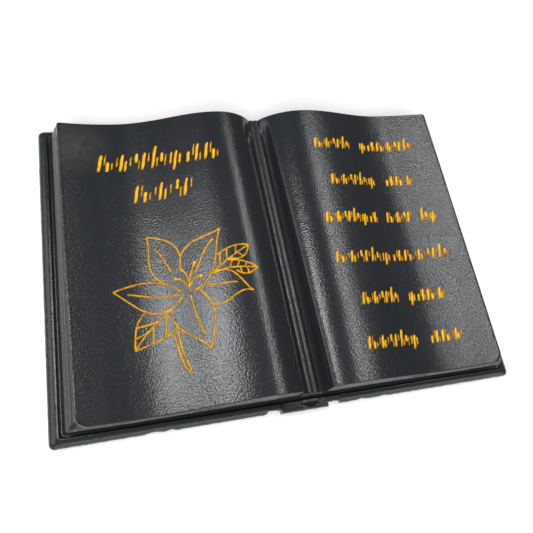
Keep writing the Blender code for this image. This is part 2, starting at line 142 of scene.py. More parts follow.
# Page block. The two pages of the resin casting, whose mould was taken from a master smoothed by
# hand in clay: the wave is soft, and the gutter holds a double rib between two grooves.
PAGE_SPREAD = 0.1616
PAGE_LENGTH = 0.1174
PAGE_EDGE_HEIGHT = 0.0150
FOOT_CORNER_RADIUS = 0.0045
HEAD_CORNER_RADIUS = 0.0012
LOWER_CORNER_RADIUS = 0.0010
PAGE_RIM_RADIUS = 0.0004
CREST_RISE = {"left": 0.0049, "right": 0.0046}
CREST_FROM_GUTTER_HEAD = {"left": 0.0166, "right": 0.0202}
CREST_FROM_GUTTER_FOOT = {"left": 0.0166, "right": 0.0150}
CREST_BEND_RADIUS = {"left": 0.0175, "right": 0.0280}
INNER_DROP_POWER = 8
DIP_DEPTH = {"left": 0.0025, "right": 0.0012}
DIP_FROM_FORE_EDGE = 0.0230
GUTTER_X_FOOT = 0.0022
GUTTER_X_HEAD = -0.0009
GUTTER_DEPTH_FOOT = 0.0050
GUTTER_DEPTH_HEAD = 0.0021
RIB_HALF_WIDTH = 0.0021
RIB_LOBE_CROWN = 0.00045
GROOVE_WIDTH = 0.0030
GROOVE_DEPTH = 0.0015
GROOVE_STOP = 0.0020
GROOVE_RUN_OUT = 0.0080
FORE_EDGE_RUN = 0.0042
LEFT_FLARE = 0.0006
# Distances from the gutter's middle: where a groove's inner wall starts and ends, where its outer
# slope starts, and where that slope has met the page
GROOVE_WALL_START = RIB_HALF_WIDTH - GROOVE_WIDTH / 8
GROOVE_WALL_END = RIB_HALF_WIDTH + GROOVE_WIDTH / 3
GROOVE_SLOPE_START = RIB_HALF_WIDTH + GROOVE_WIDTH * 0.6
GROOVE_SLOPE_END = RIB_HALF_WIDTH + GROOVE_WIDTH + 0.0006
# The rib has dropped this far where the groove's wall takes over
RIB_EDGE_DROP = RIB_LOBE_CROWN * 0.7
# The hand-smoothed clay: how deep and how wide its soft unevenness is, its scale up the page
# against across, its middle and swing as shares of the depth, and the finer unevenness on top
UNEVEN_DEPTH = 0.00012
UNEVEN_WIDTH = 0.0110
UNEVEN_RUN_UP = 0.6
UNEVEN_MIDDLE = 0.65
UNEVEN_SWING = 0.5
UNEVEN_FINE_SWING = 0.15
UNEVEN_FINE_SCALE = 2.7
# How far the casting reaches past the pages at the foot and at the head
FOOT_OVERHANG = 0.0050
COVER_HEAD_MARGIN = 0.0040
# Columns of the page's mesh: share of the columns on a side, and how far out they reach
COLUMN_REACH = ((0.0, 0.0), (0.27, 0.0072), (0.47, 0.0172))
PAGE_COLUMNS = 260
PAGE_SIDE_ROWS = 72
CORNER_ROWS = 8
RIM_STEPS = 3
# Leaves down the page block's side: share of the way down, and how far in from the even slope
LEAF_STEPS = (
    (0.10, 0.00000), (0.155, 0.00010), (0.185, 0.00042), (0.215, 0.00036),
    (0.25, 0.00002), (0.34, -0.00016), (0.395, 0.00006), (0.425, 0.00036), (0.455, 0.00030),
    (0.49, 0.00000), (0.57, -0.00016), (0.63, 0.00002), (0.66, 0.00028), (0.69, 0.00024),
    (0.73, 0.00006), (0.81, 0.00004), (0.87, 0.00008),
)
# Between these shares of the way down, the leaves' foot corners tighten
CORNER_TIGHTENS = (0.06, 0.46)

PAGE_HALF_SPREAD = PAGE_SPREAD / 2
PAGE_HALF_LENGTH = PAGE_LENGTH / 2
PAGE_MIDDLE = Vector((LEFT_FLARE / 2, (FOOT_OVERHANG - COVER_HEAD_MARGIN) / 2, 0.0))


def up_the_page(at_foot, at_head, y):
    """A size that changes evenly up the page, at a distance y from the page's middle."""
    return at_foot + (at_head - at_foot) * (y + PAGE_HALF_LENGTH) / PAGE_LENGTH


def gutter_x(y):
    return up_the_page(GUTTER_X_FOOT, GUTTER_X_HEAD, y)


def soft_step(low, high, value):
    share = min(max((value - low) / (high - low), 0.0), 1.0)
    return share * share * (3 - 2 * share)


def unevenness(x, y):
    """How far the hand-smoothed clay lies below its even wave."""
    spot = Vector((x, y * UNEVEN_RUN_UP, 0.0)) / UNEVEN_WIDTH
    soft = UNEVEN_MIDDLE + UNEVEN_SWING * noise.noise(spot)
    return UNEVEN_DEPTH * (soft + UNEVEN_FINE_SWING * noise.noise(spot * UNEVEN_FINE_SCALE))


def even_wave(x, y):
    """Height of the page's even wave above the ground."""
    middle = gutter_x(y)
    side = "left" if x < middle else "right"
    from_gutter = abs(x - middle)
    crest = up_the_page(CREST_FROM_GUTTER_FOOT[side], CREST_FROM_GUTTER_HEAD[side], y)
    rise = CREST_RISE[side]
    if from_gutter < crest:
        reach = crest - RIB_HALF_WIDTH
        way = min((crest - from_gutter) / reach, 1.0)
        bend = reach ** 2 / (2 * CREST_BEND_RADIUS[side])
        drop = rise + up_the_page(GUTTER_DEPTH_FOOT, GUTTER_DEPTH_HEAD, y) - bend
        return PAGE_EDGE_HEIGHT + rise - bend * way ** 2 - drop * way ** INNER_DROP_POWER
    dip_x = PAGE_HALF_SPREAD - DIP_FROM_FORE_EDGE
    crest_x = abs(middle + crest * (-1 if side == "left" else 1))
    if abs(x) < dip_x:
        way = (abs(x) - crest_x) / (dip_x - crest_x)
        fall = (1 - math.cos(math.pi * way)) / 2
        return PAGE_EDGE_HEIGHT + rise - (rise + DIP_DEPTH[side]) * fall
    way = (abs(x) - dip_x) / DIP_FROM_FORE_EDGE
    return PAGE_EDGE_HEIGHT - DIP_DEPTH[side] * (1 - way * way)


def page_surface(x, y):
    """Height of the waved page above the ground, before the gutter's rib and grooves."""
    return even_wave(x, y) - unevenness(x, y)


def page_height(x, y):
    """The page's surface with the double rib and the two grooves beside it."""
    from_gutter = abs(x - gutter_x(y))
    base = page_surface(x, y)
    if from_gutter > GROOVE_SLOPE_END:
        return base
    rib = PAGE_EDGE_HEIGHT - up_the_page(GUTTER_DEPTH_FOOT, GUTTER_DEPTH_HEAD, y)
    open_share = 1 - soft_step(PAGE_HALF_LENGTH - GROOVE_STOP - GROOVE_RUN_OUT,
                               PAGE_HALF_LENGTH - GROOVE_STOP, y)
    if from_gutter <= RIB_HALF_WIDTH:
        # one of the rib's two round lobes, which meet in the seam
        lobe = RIB_HALF_WIDTH / 2
        return rib - RIB_LOBE_CROWN * ((from_gutter - lobe) / lobe) ** 2
    floor = rib - GROOVE_DEPTH
    if from_gutter < GROOVE_WALL_END:
        share = soft_step(GROOVE_WALL_START, GROOVE_WALL_END, from_gutter)
        cut = rib - RIB_EDGE_DROP + (floor - rib + RIB_EDGE_DROP) * share
    else:
        share = soft_step(GROOVE_SLOPE_START, GROOVE_SLOPE_END, from_gutter)
        cut = floor + (base - floor) * share
    return base + (min(cut, base) - base) * open_share


def page_rows():
    """Rows of the page's grid from foot to head, each as its stretch and its place on it.

    A place is an angle in degrees on the rounded corners and a share of the way on the side.
    """
    foot = [("foot", 90 * step / CORNER_ROWS) for step in range(CORNER_ROWS)]
    side = [("side", step / PAGE_SIDE_ROWS) for step in range(PAGE_SIDE_ROWS + 1)]
    head = [("head", 90 * (step + 1) / CORNER_ROWS) for step in range(CORNER_ROWS)]
    return foot + side + head


def row_end(row, out, below, above, foot_radius, head_radius):
    """Half width of the casting's outline on a row, and the row's place up the page."""
    part, value = row
    half_x = PAGE_HALF_SPREAD + out
    foot_y = -PAGE_HALF_LENGTH - below
    head_y = PAGE_HALF_LENGTH + above
    angle = math.radians(value)
    in_sine = 1 - math.sin(angle)
    in_cosine = 1 - math.cos(angle)
    if part == "foot":
        return half_x - foot_radius * in_sine, foot_y + foot_radius * in_cosine
    if part == "head":
        return half_x - head_radius * in_cosine, head_y - head_radius * in_sine
    low = foot_y + foot_radius
    return half_x, low + (head_y - head_radius - low) * value


def column_x(across, half_x, y):
    """Columns stand closest at the gutter and follow its lean."""
    middle = gutter_x(y)
    side = -1 if across < 0 else 1
    share = abs(across)
    for (low, reach_low), (high, reach_high) in zip(COLUMN_REACH, COLUMN_REACH[1:]):
        if share <= high:
            reach = reach_low + (reach_high - reach_low) * (share - low) / (high - low)
            return middle + side * reach
    last_share, last_reach = COLUMN_REACH[-1]
    start = middle + side * last_reach
    return start + (side * half_x - start) * (share - last_share) / (1 - last_share)


def flared_x(x, y):
    """The left side's flare, which leaves the page itself alone."""
    beyond = min(max(-x - PAGE_HALF_SPREAD, 0.0) / FORE_EDGE_RUN, 1.0)
    return x + LEFT_FLARE * beyond * y / PAGE_HALF_LENGTH


rows = page_rows()
casting_bm = bmesh.new()
bmesh.ops.create_grid(casting_bm, x_segments=PAGE_COLUMNS, y_segments=len(rows) - 1, size=1.0)
rim_place = {}
for vert in casting_bm.verts:
    row = rows[round((vert.co.y + 1) / 2 * (len(rows) - 1))]
    across = vert.co.x
    inset = -PAGE_RIM_RADIUS
    half_x, y = row_end(row, inset, inset, inset, FOOT_CORNER_RADIUS, HEAD_CORNER_RADIUS)
    x = column_x(across, half_x, y)
    z = page_height(x, y)
    vert.co = (x, y, z)
    rim_place[vert] = (row, x / half_x, z)
rim = [e for e in casting_bm.edges if e.is_boundary]


def draw_rim(edges, place_vert):
    """One more ring drawn from the rim, with each new vertex placed by place_vert."""
    above = {v.co.copy().freeze(): v for e in edges for v in e.verts}
    drawn = bmesh.ops.extrude_edge_only(casting_bm, edges=edges)["geom"]
    for vert in [v for v in drawn if isinstance(v, bmesh.types.BMVert)]:
        row, across, top = rim_place[above[vert.co.copy().freeze()]]
        rim_place[vert] = (row, across, top)
        vert.co = place_vert(row, across, top)
    return [e for e in drawn if isinstance(e, bmesh.types.BMEdge)]


# Covers, hinge strips and spine. They belong to the same pour of resin: a narrow valley runs round
# the page block, then boards with rolled edges, and a flat spine that stands proud at the foot.
COVER_SIDE_MARGIN = 0.0092
VALLEY_HALF_WIDTH = 0.0009
VALLEY_DEPTH = 0.0011
VALLEY_OFFSET = 0.0005
COVER_CORNER_RADIUS = 0.0020
SPINE_HALF_WIDTH = 0.0093
COVER_START = 0.0149
# Each stretch of the border: thickness, margin at the foot, margin at the head, height of its
# rolled edge, and how far in the roll reaches
COVER_BORDER = (0.0042, 0.0044, COVER_HEAD_MARGIN, 0.0023, 0.0034)
HINGE_BORDER = (0.0034, 0.0035, 0.0031, 0.0008, 0.0008)
SPINE_BORDER = (0.0046, FOOT_OVERHANG, 0.0036, 0.0008, 0.0008)
ROLL_POWER = 1.6
LIP_WIDTH = 0.0002
VALLEY_STEPS = 8
BORDER_STEPS = 3
ROLL_STEPS = 10
FOOT_STEPS = 4
SPINE_HOLLOW_WIDTH = 0.0078
SPINE_HOLLOW_LENGTH = 0.0020
SPINE_HOLLOW_DEPTH = 0.0009
# The lower edge, left rough where the casting came off its mould: how deep and how coarse it is,
# how high it reaches, and the dents at the foot as place across, half width and depth
EDGE_ROUGHNESS = 0.00055
EDGE_GRAIN = 0.0021
ROUGH_HEIGHT = 0.0036
DENTS = (
    (-0.0560, 0.0034, 0.0013), (-0.0500, 0.0020, 0.0010), (-0.0130, 0.0030, 0.0012),
    (0.0118, 0.0026, 0.0014), (0.0235, 0.0024, 0.0010), (0.0330, 0.0020, 0.0006),
)


def border_at(x):
    """The border's sizes where it passes the covers, the hinge strips or the spine."""
    if abs(x) < SPINE_HALF_WIDTH:
        return SPINE_BORDER
    return HINGE_BORDER if abs(x) < COVER_START else COVER_BORDER


def border_section(thickness, margin, roll_height, roll_reach):
    """Section across the valley and the border down to the ground, as distance out and height."""
    points = []
    for step in range(VALLEY_STEPS + 1):
        angle = math.pi * step / VALLEY_STEPS
        out = VALLEY_OFFSET - VALLEY_HALF_WIDTH * math.cos(angle)
        points.append((out, thickness - VALLEY_DEPTH * math.sin(angle)))
    start = VALLEY_OFFSET + VALLEY_HALF_WIDTH
    roll_reach = min(roll_reach, margin - start - LIP_WIDTH)
    end = margin - roll_reach
    for step in range(1, BORDER_STEPS + 1):
        points.append((start + (end - start) * step / BORDER_STEPS, thickness))
    for step in range(1, ROLL_STEPS + 1):
        angle = math.pi / 2 * step / ROLL_STEPS
        across = math.sin(angle) ** (2 / ROLL_POWER)
        up = math.cos(angle) ** (2 / ROLL_POWER)
        points.append((end + roll_reach * across, thickness - roll_height * (1 - up)))
    for step in range(1, FOOT_STEPS + 1):
        points.append((margin, (thickness - roll_height) * (1 - step / FOOT_STEPS)))
    return points


def roughened(x, y, z):
    """A point of the border's outer face, worn in where the casting's lower edge is rough."""
    share = 1 - soft_step(0.0, ROUGH_HEIGHT, z)
    if share == 0.0:
        return Vector((x, y, z))
    worn = EDGE_ROUGHNESS * (0.5 + 0.5 * noise.noise(Vector((x, y, z)) / EDGE_GRAIN))
    if y < -PAGE_HALF_LENGTH:
        for middle, width, depth in DENTS:
            worn += depth * max(0.0, 1 - abs(x - middle) / width)
    scale_x = 1 - share * worn / PAGE_HALF_SPREAD
    scale_y = 1 - share * worn / PAGE_HALF_LENGTH
    return Vector((x * scale_x, y * scale_y, z))


def hollow_depth(x, out):
    """Depth of the shallow oval pressed into the spine's end below the gutter."""
    across = (x - GUTTER_X_FOOT) / (SPINE_HOLLOW_WIDTH / 2)
    along = (out - SPINE_BORDER[1] / 2) / (SPINE_HOLLOW_LENGTH / 2)
    return SPINE_HOLLOW_DEPTH * math.sqrt(max(0.0, 1 - across ** 2 - along ** 2))


for step in range(1, RIM_STEPS + 1):
    angle = math.pi / 2 * step / RIM_STEPS
    stand = PAGE_RIM_RADIUS * (math.sin(angle) - 1)
    lowered = PAGE_RIM_RADIUS * (1 - math.cos(angle))

    def place_rim(row, across, top):
        half_x, y = row_end(row, stand, stand, stand, FOOT_CORNER_RADIUS, HEAD_CORNER_RADIUS)
        return (half_x * across, y, top - lowered)

    rim = draw_rim(rim, place_rim)

for share, inset in LEAF_STEPS:
    tight = soft_step(*CORNER_TIGHTENS, share)
    foot_radius = FOOT_CORNER_RADIUS + (LOWER_CORNER_RADIUS - FOOT_CORNER_RADIUS) * tight

    def place_leaf(row, across, top):
        out = FORE_EDGE_RUN * share - inset
        half_x, y = row_end(row, out, -inset, -inset, foot_radius, HEAD_CORNER_RADIUS)
        x = half_x * across
        thickness = border_at(x)[0]
        z = top - PAGE_RIM_RADIUS
        return (flared_x(x, y), y, z + (thickness - z) * share)

    rim = draw_rim(rim, place_leaf)

for index in range(VALLEY_STEPS + 1 + BORDER_STEPS + ROLL_STEPS + FOOT_STEPS):

    def place_border(row, across, top):
        x = across * (PAGE_HALF_SPREAD + COVER_SIDE_MARGIN)
        thickness, foot_margin, head_margin, roll_height, roll_reach = border_at(x)
        side_margin = COVER_SIDE_MARGIN - FORE_EDGE_RUN
        out = border_section(thickness, side_margin, roll_height, roll_reach)[index][0]
        below, z = border_section(thickness, foot_margin, roll_height, roll_reach)[index]
        above = border_section(thickness, head_margin, roll_height, roll_reach)[index][0]
        rounder = COVER_CORNER_RADIUS - LOWER_CORNER_RADIUS
        radius = LOWER_CORNER_RADIUS + rounder * max(out, 0.0) / side_margin
        half_x, y = row_end(row, FORE_EDGE_RUN + out, below, above, radius, radius)
        x = flared_x(half_x * across, y)
        if y < -PAGE_HALF_LENGTH and abs(x) < SPINE_HALF_WIDTH:
            z -= hollow_depth(x, below)
        return roughened(x, y, z)

    rim = draw_rim(rim, place_border)
bmesh.ops.edgeloop_fill(casting_bm, edges=rim)


def finished_mesh(bm, name):
    """An object whose place is in its mesh, in triangles whose faces point out."""
    bmesh.ops.triangulate(bm, faces=bm.faces)
    bmesh.ops.recalc_face_normals(bm, faces=bm.faces)
    bmesh.ops.translate(bm, vec=PAGE_MIDDLE, verts=bm.verts)
    mesh = bpy.data.meshes.new(name)
    bm.to_mesh(mesh)
    bm.free()
    made = bpy.data.objects.new(name, mesh)
    bpy.context.scene.collection.objects.link(made)
    return made


casting = finished_mesh(casting_bm, "book_casting")

# Engraved lines. The master was cut with a round-nosed tool: a lily with its leaves on the left
# page, and rows of slanted strokes on both pages.
LILY_SPAN = 0.0500
LILY_HEART = (-0.0385, -0.0153)
LILY_LINE_RADIUS = 0.00043
# One unit of the grid that the lily's lines are given on: the lily spans 50 of them
LILY_GRID = LILY_SPAN / 50
# Each line: start, end, then its swell to the left of its way at one third and at two thirds
PETAL_EDGES = (
    ((-2.5, -1.3), (-26.8, 2.1), -6.7, -4.2),
    ((-2.0, -2.2), (-26.8, 2.1), 13.9, 4.0),
    ((-1.6, 12.6), (-13.0, 22.6), -4.7, -2.6),
    ((-7.3, 3.0), (-13.0, 22.6), 7.8, 0.3),
    ((-1.6, 12.6), (14.1, 21.5), 4.8, -0.3),
    ((1.1, -1.4), (14.1, 21.5), -8.3, -0.5),
    ((8.8, 3.5), (22.9, -4.6), 8.1, 1.0),
    ((7.7, -7.5), (22.9, -4.6), -3.6, 3.9),
    ((3.3, -1.0), (4.9, -23.4), 6.8, 2.9),
    ((-7.1, -7.1), (4.9, -23.4), -6.0, 0.5),
)
PETAL_VEINS = (
    ((-21.8, 0.8), (-3.8, -1.7), -0.2, -1.9),
    ((-10.4, 17.4), (-5.3, 7.1), 0.9, 0.1),
    ((11.1, 17.8), (2.8, 5.2), -1.7, -0.2),
    ((6.2, 0.3), (17.5, -0.7), -1.1, 0.5),
    ((0.3, -2.8), (3.4, -18.6), -0.8, -0.3),
    ((-1.6, 12.6), (-2.2, 7.7), 0.0, 0.0),
)
STAMENS = (
    ((0.0, -1.0), (3.5, 9.9), 0.9, 0.9),
    ((0.4, 0.7), (5.4, 3.8), 1.1, 2.0),
    ((-0.3, 0.7), (-4.8, 4.5), -1.2, -1.2),
    ((0.3, 2.6), (-2.2, 7.6), -0.1, -1.6),
)
STAMEN_TIP_RADIUS = 0.00078
# The hand-held tool: how fast its cut changes along the line, and the cut's middle and swing as
# shares of the tool's radius
WOBBLE_SIZE = 0.0012
WOBBLE_MIDDLE = 0.95
WOBBLE_SWING = 0.22
TOOL_LIFT = 0.00006
STEM_EDGES = (
    ((-7.3, -14.7), (-4.1, -29.7), -0.3, -1.1),
    ((-5.6, -14.2), (-2.7, -29.7), -1.3, -0.9),
    ((-4.1, -29.7), (-2.7, -29.7), -0.5, -0.5),
)
# Each leaf: upper edge, lower edge, midrib, and side veins as shares of those lines
LEAVES = (
    {
        "upper": ((-16.3, -6.7), (-21.0, -20.2), -3.0, -1.1),
        "lower": ((-5.6, -13.4), (-21.0, -20.2), 2.4, 0.3),
        "midrib": ((-7.2, -6.9), (-21.0, -20.2), -1.1, -1.4),
        "upper_veins": ((0.30, 0.42), (0.55, 0.70)),
        "lower_veins": ((0.10, 0.34), (0.45, 0.62)),
    },
    {
        "upper": ((11.5, 10.8), (23.9, 13.6), 1.7, 1.9),
        "lower": ((14.7, 8.8), (23.9, 13.6), -3.2, -4.2),
        "midrib": ((9.0, 4.0), (23.9, 13.6), 0.7, 0.3),
        "upper_veins": ((0.24, 0.12), (0.44, 0.34), (0.66, 0.64)),
        "lower_veins": ((0.48, 0.26), (0.68, 0.56)),
    },
    {
        "upper": ((14.2, 8.4), (25.9, 4.3), 1.2, 1.6),
        "lower": ((17.7, 4.0), (25.9, 4.3), -2.9, -2.4),
        "midrib": ((10.0, 4.6), (25.9, 4.3), 1.3, 0.6),
        "upper_veins": ((0.36, 0.22), (0.54, 0.44), (0.72, 0.66)),
        "lower_veins": ((0.58, 0.22), (0.74, 0.54)),
    },
)
SIDE_VEIN_SWELL = 0.3
# Points along the lily's lines
PETAL_STEPS = 18
LINE_STEPS = 10
LEAF_EDGE_STEPS = 12
SIDE_VEIN_STEPS = 5
ROW_SLANT = 0.26
# Each row: middle, foot, width, height, full stroke width, and how many marks each group holds
LEFT_ROWS = (
    (-0.0441, 0.0365, 0.0480, 0.0076, 0.00145, (7,)),
    (-0.0441, 0.0221, 0.0230, 0.0076, 0.00145, (3,)),
)
RIGHT_ROWS_MIDDLE = 0.0449
RIGHT_FIRST_FOOT = 0.0398
RIGHT_ROW_PITCH = 0.01744
RIGHT_ROW_HEIGHT = 0.0050
RIGHT_STROKE_WIDTH = 0.00130
RIGHT_ROWS = tuple(
    (RIGHT_ROWS_MIDDLE, RIGHT_FIRST_FOOT - index * RIGHT_ROW_PITCH, width, RIGHT_ROW_HEIGHT,
     RIGHT_STROKE_WIDTH, marks)
    for index, (width, marks) in enumerate((
        (0.0486, (4, 6)), (0.0408, (5, 3)), (0.0536, (6, 3, 2)),
        (0.0534, (10,)), (0.0392, (4, 4)), (0.0435, (5, 3)),
    ))
)
# Strokes of each kind of mark: place across its cell, foot, head, and share of the full width
MARK_KINDS = (
    ((0.18, 0.00, 1.00, 1.0), (0.42, 0.35, 1.00, 0.6),
     (0.64, 0.00, 0.58, 1.0), (0.88, 0.10, 0.52, 0.6)),
    ((0.12, 0.28, 0.82, 0.6), (0.38, 0.00, 1.00, 1.0),
     (0.64, 0.00, 0.62, 0.8), (0.88, 0.28, 0.82, 0.6)),
    ((0.18, 0.45, 1.00, 1.0), (0.40, 0.00, 0.56, 0.6),
     (0.62, 0.00, 1.00, 1.0), (0.88, 0.42, 0.95, 0.6)),
    ((0.18, 0.00, 1.30, 1.0), (0.42, 0.04, 0.62, 0.6),
     (0.64, 0.32, 0.84, 1.0), (0.88, 0.00, 0.70, 0.6)),
    ((0.18, 0.08, 0.78, 0.8), (0.45, -0.30, 0.82, 1.0),
     (0.70, 0.04, 0.62, 0.8)),
    ((0.18, 0.00, 0.62, 1.0), (0.42, 0.32, 1.00, 0.6),
     (0.64, 0.00, 1.00, 1.0), (0.88, 0.00, 0.48, 0.6)),
)
STROKE_POINTS = 6
STROKE_BOW = 0.00012
STROKE_END_TAPER = 0.3
STROKE_TAPER_POWER = 4
# The cutters are this smooth round their section, and their points are welded within this distance
CUTTER_ROUND_STEPS = 2
CUTTER_WELD = 0.000001


def bowed_point(line, share):
    """A point along one of the lily's bowed lines, on the lily's own grid."""
    start, end, swell_a, swell_b = line
    start = Vector(start)
    end = Vector(end)
    way = end - start
    left = Vector((-way.y, way.x)).normalized()
    handle_a = start + way / 3 + left * swell_a
    handle_b = start + way * 2 / 3 + left * swell_b
    rest = 1 - share
    return (rest ** 3 * start + 3 * share * rest ** 2 * handle_a
            + 3 * share ** 2 * rest * handle_b + share ** 3 * end)


def on_page(x, y):
    """Where the tool's middle runs: a hair above the page, so that it crosses it cleanly."""
    return Vector((x, y, page_surface(x, y) + TOOL_LIFT))


def lily_point(point):
    return on_page(LILY_HEART[0] + point.x * LILY_GRID, LILY_HEART[1] + point.y * LILY_GRID)


def hand_wobble(point):
    """How much wider or narrower the tool cut at a point."""
    return WOBBLE_MIDDLE + WOBBLE_SWING * noise.noise(point / WOBBLE_SIZE)


def lily_run(line, steps, tip=LILY_LINE_RADIUS):
    points = [lily_point(bowed_point(line, step / steps)) for step in range(steps + 1)]
    radii = [LILY_LINE_RADIUS * hand_wobble(point) for point in points]
    radii[-1] = tip
    radii[-2] = (tip + radii[-2]) / 2
    return points, radii


def lily_runs():
    runs = [lily_run(line, PETAL_STEPS) for line in PETAL_EDGES]
    runs += [lily_run(line, LINE_STEPS) for line in PETAL_VEINS + STEM_EDGES]
    runs += [lily_run(line, LINE_STEPS, STAMEN_TIP_RADIUS) for line in STAMENS]
    for leaf in LEAVES:
        runs += [lily_run(leaf[part], LEAF_EDGE_STEPS) for part in ("upper", "lower", "midrib")]
        for edge in ("upper", "lower"):
            for on_midrib, on_edge in leaf[edge + "_veins"]:
                start = bowed_point(leaf["midrib"], on_midrib)
                end = bowed_point(leaf[edge], on_edge)
                vein = (start, end, SIDE_VEIN_SWELL, SIDE_VEIN_SWELL)
                runs.append(lily_run(vein, SIDE_VEIN_STEPS))
    return runs


def row_runs(middle_x, foot_y, width, height, stroke_width, groups):
    """Slanted strokes of one row, in groups with a mark's width between them."""
    cell = width / (sum(groups) + len(groups) - 1)
    runs = []
    place = 0
    mark = 0
    for group in groups:
        for _ in range(group):
            left = middle_x - width / 2 + place * cell
            for across, foot, head, weight in MARK_KINDS[mark % len(MARK_KINDS)]:
                points = []
                radii = []
                for step in range(STROKE_POINTS + 1):
                    share = step / STROKE_POINTS
                    up = foot + (head - foot) * share
                    bow = STROKE_BOW * math.sin(2 * math.pi * share)
                    x = left + across * cell + ROW_SLANT * up * height + bow
                    points.append(on_page(x, foot_y + up * height))
                    taper = 1 - STROKE_END_TAPER * abs(2 * share - 1) ** STROKE_TAPER_POWER
                    radii.append(stroke_width / 2 * weight * taper * hand_wobble(points[-1]))
                runs.append((points, radii))
            place += 1
            mark += 1
        place += 1
    return runs


def applied_mesh(shape):
    """The mesh of a curve or of an object with its modifiers applied."""
    bpy.context.view_layer.update()
    drawn = shape.evaluated_get(bpy.context.evaluated_depsgraph_get())
    return bpy.data.meshes.new_from_object(drawn)


def combine(target, tool, operation, overlaps_itself=False):
    """One exact Boolean, applied at once, after which the tool is thrown away."""
    step = target.modifiers.new(tool.name, "BOOLEAN")
    step.object = tool
    step.operation = operation
    step.solver = "EXACT"
    step.use_self = overlaps_itself
    step.material_mode = "TRANSFER"
    mesh = applied_mesh(target)
    target.modifiers.clear()
    old = target.data
    target.data = mesh
    bpy.data.meshes.remove(old)
    bpy.data.objects.remove(tool, do_unlink=True)


def tubes(name, runs, material):
    """Round closed cutters along runs of points, each given as (points, radii)."""
    curve = bpy.data.curves.new(name, "CURVE")
    curve.dimensions = "3D"
    curve.twist_mode = "Z_UP"
    curve.bevel_depth = 1.0
    curve.bevel_resolution = CUTTER_ROUND_STEPS
    curve.use_fill_caps = True
    for points, radii in runs:
        spline = curve.splines.new("POLY")
        spline.points.add(len(points) - 1)
        for target, point, radius in zip(spline.points, points, radii):
            target.co = (*point, 1.0)
            target.radius = radius
    drawn = bpy.data.objects.new(name, curve)
    bpy.context.scene.collection.objects.link(drawn)
    mesh = applied_mesh(drawn)
    bpy.data.objects.remove(drawn, do_unlink=True)
    bm = bmesh.new()
    bm.from_mesh(mesh)
    bpy.data.meshes.remove(mesh)
    bmesh.ops.remove_doubles(bm, verts=bm.verts, dist=CUTTER_WELD)
    made = finished_mesh(bm, name)
    made.data.materials.append(material)
    return made


# The cutters carry the paint's material, which marks the grooves they leave
resin = bpy.data.materials.new("black_resin")
gold = bpy.data.materials.new("gold_paint")
casting.data.materials.append(resin)
for runs in ([run for row in LEFT_ROWS + RIGHT_ROWS for run in row_runs(*row)], lily_runs()):
    # the first run takes the others in, so that lines which cross are one cutter
    graver = tubes("graver", runs[:1], gold)
    combine(graver, tubes("other_runs", runs[1:], gold), "UNION", overlaps_itself=True)
    combine(casting, graver, "DIFFERENCE")

# The marked faces are copied for the paint that lies on them, and the mark comes off the casting
gold_slot = [m.name for m in casting.data.materials].index("gold_paint")
groove_bm = bmesh.new()
groove_bm.from_mesh(casting.data)
unpainted = [f for f in groove_bm.faces if f.material_index != gold_slot]
bmesh.ops.delete(groove_bm, geom=unpainted, context="FACES")
for face in casting.data.polygons:
    face.material_index = 0
while len(casting.data.materials) > 1:
    casting.data.materials.pop(index=len(casting.data.materials) - 1)

# Resin finish. Satin black paint covers the whole casting: sprayed, it lies in a fine leathery
# grain over a softer orange peel; it is brushed a little along the pages and scuffed at a corner.
RESIN_COLOR = (0.0145, 0.0165, 0.019, 1.0)
SCUFF_COLOR = (0.060, 0.062, 0.064, 1.0)
SCUFF_PLACE = (-0.0740, 0.0490, 0.0140)
SCUFF_REACH = 0.0150
MOTTLE_SCALE = 350.0
MOTTLE_DETAIL = 4.0
GRAIN_SIZE = 0.00064
GRAIN_DEPTH = 0.000044
GRAIN_DETAIL = 2.0
GRAIN_CELL_SMOOTHNESS = 0.35
PEEL_SIZE = 0.0045
PEEL_DEPTH = 0.00004
PEEL_DETAIL = 1.0
# The brush marks' scale along each axis, and the part of their range that spans the roughness
BRUSH_SCALE = (140.0, 12.0, 60.0)
BRUSH_DETAIL = 3.0
BRUSH_RANGE = (0.3, 0.7)
ROUGHNESS_RANGE = (0.18, 0.24)
SHARP_ANGLE = math.radians(35)


